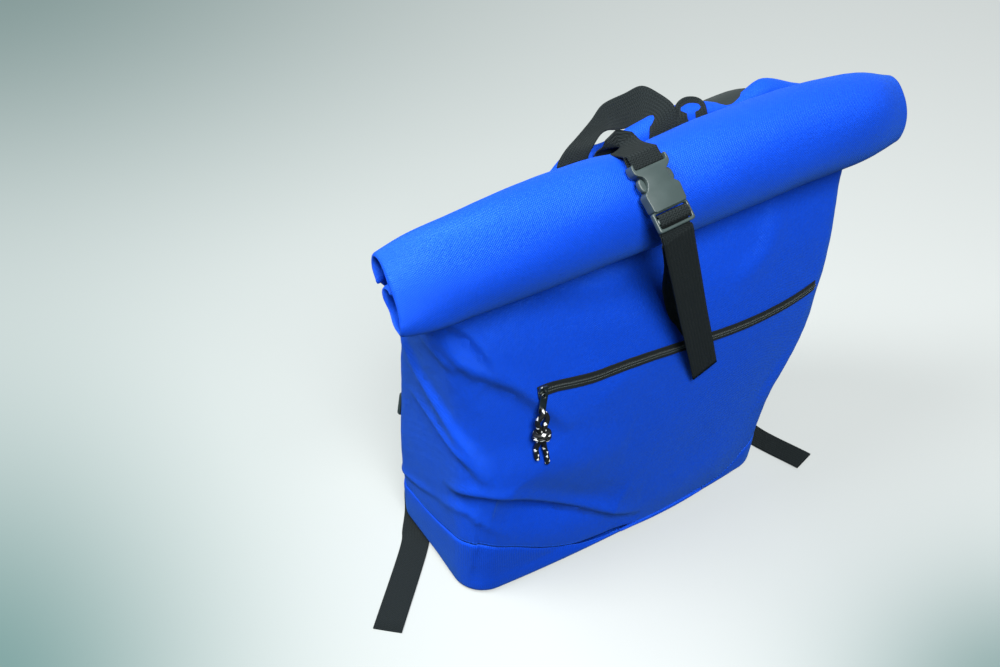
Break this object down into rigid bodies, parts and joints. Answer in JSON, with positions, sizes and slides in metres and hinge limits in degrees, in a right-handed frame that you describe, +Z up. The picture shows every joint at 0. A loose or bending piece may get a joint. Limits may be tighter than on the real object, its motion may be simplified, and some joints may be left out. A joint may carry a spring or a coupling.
{
  "type": "rolltop backpack",
  "caption": "Woven cloth backpack with a rolled top held by a strap and side-release buckle, a front zip pocket, haul handle, hang loop and padded shoulder straps.",
  "frame": {"origin": "middle of the base's resting face, on the ground", "axes": "+Z up, the front with the zip pocket faces -Y, +X is to the right as seen from the front"},
  "size_m": [0.4632, 0.2299, 0.4273],
  "materials": {
    "blue_cloth": "fine woven cloth, matt with a soft sheen",
    "black_webbing": "coarse woven webbing, matt",
    "grey_padding": "smooth padded cloth, matt",
    "grey_plastic": "satin moulded plastic",
    "black_tape": "zip tape and coil, matt",
    "gunmetal": "dark plated metal, satin",
    "black_cord": "braided cord"
  },
  "bodies": {
    "root": {"body_shell": "blue_cloth", "base_panel": "blue_cloth", "zipper_tape_upper": "black_tape", "zipper_tape_lower": "black_tape", "zipper_coil": "black_tape", "zipper_slider": "gunmetal", "zipper_puller": "gunmetal", "pull_cord": "black_cord", "pull_cord_knot": "black_cord", "closing_strap_upper": "black_webbing", "closing_strap_lower": "black_webbing", "buckle_socket": "grey_plastic", "buckle_plug": "grey_plastic", "haul_handle": "black_webbing", "hang_loop": "black_webbing", "shoulder_strap_left": "grey_padding", "shoulder_strap_right": "grey_padding", "strap_adjuster_left": "grey_plastic", "strap_adjuster_right": "grey_plastic", "lower_webbing_left": "black_webbing", "lower_webbing_right": "black_webbing"}
  },
  "joints": []
}
